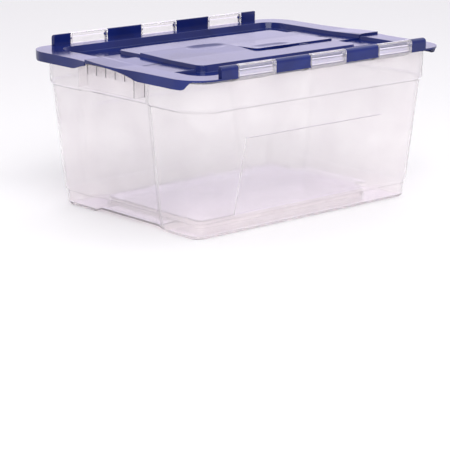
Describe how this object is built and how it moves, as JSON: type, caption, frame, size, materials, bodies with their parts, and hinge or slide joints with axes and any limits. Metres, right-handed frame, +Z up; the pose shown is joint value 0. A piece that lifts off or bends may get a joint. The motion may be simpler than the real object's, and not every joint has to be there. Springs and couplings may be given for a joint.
{
  "type": "lidded storage tote",
  "caption": "Clear storage tote with an attached two-flap lid, hinged along both long sides and parted by a stepped seam, with hand grips at the ends.",
  "frame": {"origin": "on the floor under the middle of the tub", "axes": "+X along the long sides, +Y from the front long side to the back one, +Z up"},
  "size_m": [0.5852, 0.428, 0.279],
  "materials": {
    "clear_plastic": "clear moulded polypropylene, slightly milky",
    "navy_plastic": "navy moulded polypropylene, satin gloss"
  },
  "bodies": {
    "tub": {"tub": "clear_plastic"},
    "front_flap": {"front_flap": "navy_plastic"},
    "back_flap": {"back_flap": "navy_plastic"}
  },
  "joints": [
    {"name": "front_hinge", "type": "hinge", "parent": "tub", "child": "front_flap", "pos_m": [0, -0.2095, 0.27], "axis": [1, 0, 0], "range_deg": [0, 265]},
    {"name": "back_hinge", "type": "hinge", "parent": "tub", "child": "back_flap", "pos_m": [0, 0.2095, 0.27], "axis": [-1, 0, 0], "range_deg": [0, 265]}
  ]
}
